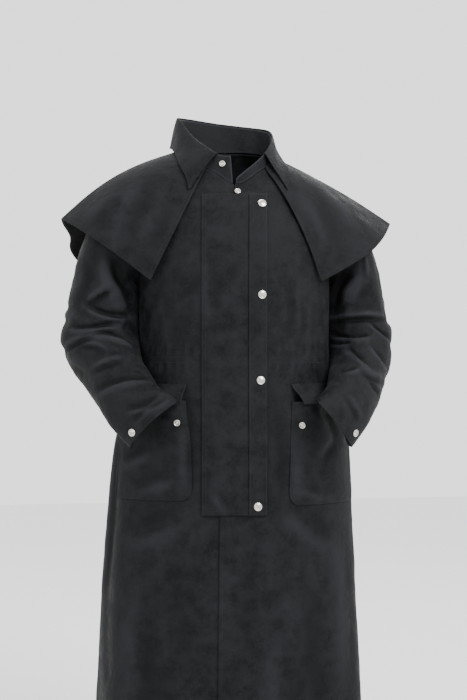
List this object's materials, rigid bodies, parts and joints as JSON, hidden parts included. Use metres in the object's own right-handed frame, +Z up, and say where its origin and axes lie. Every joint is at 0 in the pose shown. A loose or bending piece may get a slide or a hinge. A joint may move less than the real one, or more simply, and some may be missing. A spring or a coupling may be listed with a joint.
{
  "type": "duster coat",
  "caption": "Long waxed cotton duster coat with a shoulder cape, turned-down collar, storm flap and patch pockets, hollow as worn with the hands at the pockets.",
  "frame": {"origin": "middle of the neck opening, at the height of the shoulder neck seams, where the wearer's neck and shoulders hold the coat up", "axes": "+Z up, -Y the coat's front, +X the wearer's left"},
  "size_m": [0.7268, 0.4443, 1.405],
  "materials": {
    "waxed_cotton": "near-black waxed cotton, dull with a faint sheen",
    "snap_metal": "nickel-plated brass"
  },
  "bodies": {
    "root": {"front_left": "waxed_cotton", "front_right": "waxed_cotton", "back": "waxed_cotton", "sleeve_left": "waxed_cotton", "sleeve_right": "waxed_cotton", "cape_front_left": "waxed_cotton", "cape_front_right": "waxed_cotton", "cape_back": "waxed_cotton", "collar_stand": "waxed_cotton", "collar_leaf": "waxed_cotton", "storm_flap": "waxed_cotton", "snap_band": "waxed_cotton", "pocket_left": "waxed_cotton", "pocket_right": "waxed_cotton", "pocket_flap_left": "waxed_cotton", "pocket_flap_right": "waxed_cotton", "flap_snap_1": "snap_metal", "flap_snap_2": "snap_metal", "flap_snap_3": "snap_metal", "flap_snap_4": "snap_metal", "neck_snap_upper": "snap_metal", "neck_snap_lower": "snap_metal", "pocket_snap_left": "snap_metal", "pocket_snap_right": "snap_metal", "cuff_snap_left": "snap_metal", "cuff_snap_right": "snap_metal"}
  },
  "joints": []
}
